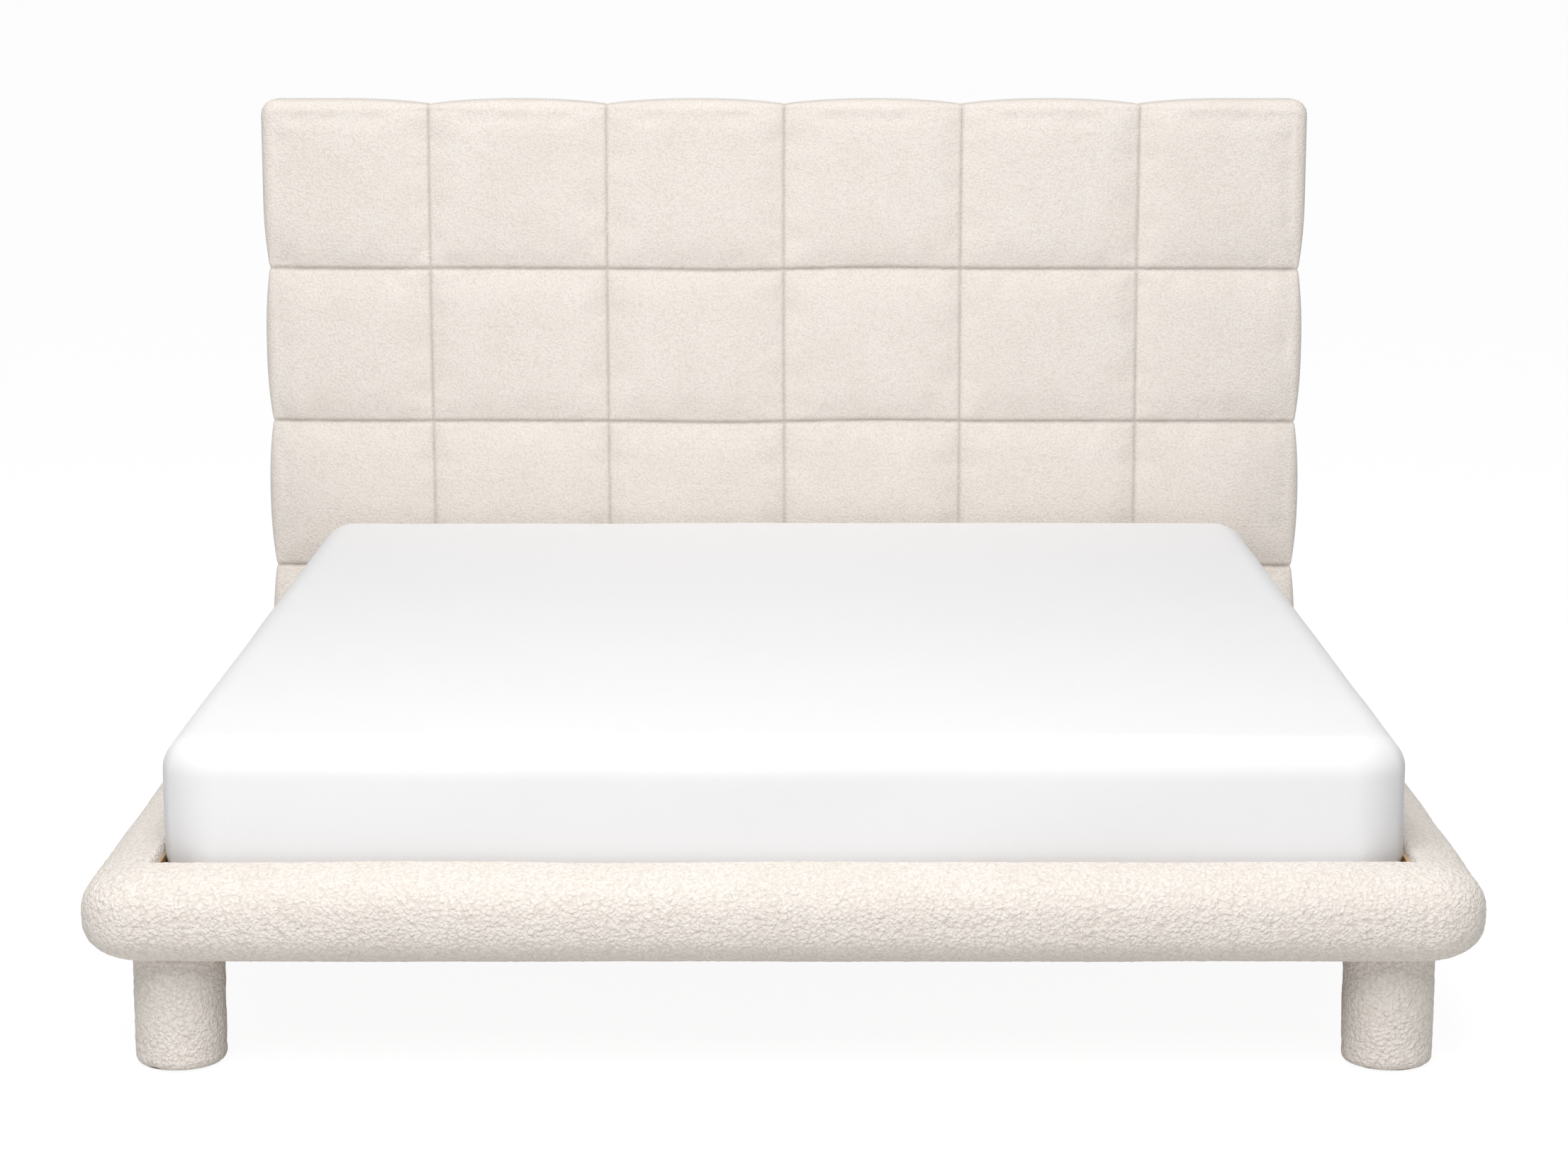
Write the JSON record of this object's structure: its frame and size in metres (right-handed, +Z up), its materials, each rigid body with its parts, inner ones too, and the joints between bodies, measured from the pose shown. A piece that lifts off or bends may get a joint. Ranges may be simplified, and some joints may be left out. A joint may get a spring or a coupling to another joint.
{
  "type": "upholstered headboard bed",
  "caption": "Double bed with a tufted upholstered headboard, padded rounded rails, round padded legs, slatted base and a mattress in a fitted sheet that lifts off.",
  "frame": {"origin": "on the floor under the middle of the bed's overall width and length", "axes": "+X across the bed to the right seen from the foot end, +Y along the bed towards the headboard, +Z up"},
  "size_m": [2.03, 2.196, 1.3],
  "materials": {
    "boucle": "matte",
    "sheet_cotton": "matte",
    "ticking": "matte",
    "lining": "matte",
    "webbing": "matte",
    "pine": "satin",
    "plywood": "matte",
    "beech": "satin",
    "black_steel": "satin",
    "zinc_steel": "satin",
    "black_plastic": "matte"
  },
  "bodies": {
    "bed_frame": {"beam_hanger_foot_end": "black_steel", "beam_hanger_head_end": "black_steel", "centre_beam": "black_steel", "centre_leg_foot_end": "beech", "centre_leg_head_end": "beech", "corner_block_foot_left": "pine", "corner_block_foot_right": "pine", "corner_block_head_left": "pine", "corner_block_head_right": "pine", "foot_rail_core": "pine", "foot_rail_cover": "boucle", "hanger_screws": "zinc_steel", "head_rail": "pine", "headboard_back_cloth": "lining", "headboard_board": "plywood", "headboard_bolts": "zinc_steel", "headboard_bottom_rail": "pine", "headboard_cushion": "boucle", "headboard_stile_left": "pine", "headboard_stile_right": "pine", "headboard_top_rail": "pine", "leg_core_foot_left": "beech", "leg_core_foot_right": "beech", "leg_core_head_left": "beech", "leg_core_head_right": "beech", "leg_cover_foot_left": "boucle", "leg_cover_foot_right": "boucle", "leg_cover_head_left": "boucle", "leg_cover_head_right": "boucle", "leg_glides": "black_plastic", "leg_studs": "zinc_steel", "rail_bolts": "zinc_steel", "side_rail_core_left": "pine", "side_rail_core_right": "pine", "side_rail_cover_left": "boucle", "side_rail_cover_right": "boucle", "slat_01": "pine", "slat_02": "pine", "slat_03": "pine", "slat_04": "pine", "slat_05": "pine", "slat_06": "pine", "slat_07": "pine", "slat_08": "pine", "slat_09": "pine", "slat_10": "pine", "slat_11": "pine", "slat_12": "pine", "slat_13": "pine", "slat_ledge_left": "pine", "slat_ledge_right": "pine", "slat_tape_left": "webbing", "slat_tape_right": "webbing", "wood_screws": "zinc_steel"},
    "mattress": {"mattress": "ticking", "fitted_sheet": "sheet_cotton"},
    "levelling_pad_foot": {"levelling_pad_foot_end": "black_plastic"},
    "levelling_stem_foot": {"levelling_stem_foot_end": "zinc_steel"},
    "levelling_pad_head": {"levelling_pad_head_end": "black_plastic"},
    "levelling_stem_head": {"levelling_stem_head_end": "zinc_steel"}
  },
  "joints": [
    {"name": "mattress_lift", "type": "slide", "parent": "bed_frame", "child": "mattress", "axis": [0, 0, 1], "range_m": [0, 0.4]},
    {"name": "levelling_slide_foot", "type": "slide", "parent": "bed_frame", "child": "levelling_pad_foot", "axis": [0, 0, 1], "range_m": [-0.015, 0]},
    {"name": "levelling_turn_foot", "type": "hinge", "parent": "levelling_pad_foot", "child": "levelling_stem_foot", "pos_m": [0, -0.333, 0.008], "axis": [0, 0, 1], "range_deg": [-4320, 0]},
    {"name": "levelling_slide_head", "type": "slide", "parent": "bed_frame", "child": "levelling_pad_head", "axis": [0, 0, 1], "range_m": [-0.015, 0]},
    {"name": "levelling_turn_head", "type": "hinge", "parent": "levelling_pad_head", "child": "levelling_stem_head", "pos_m": [0, 0.333, 0.008], "axis": [0, 0, 1], "range_deg": [-4320, 0]}
  ],
  "couplings": [
    {"joint": "levelling_turn_foot", "follows": "levelling_slide_foot", "rad_per_m": 5026.5},
    {"joint": "levelling_turn_head", "follows": "levelling_slide_head", "rad_per_m": 5026.5}
  ]
}
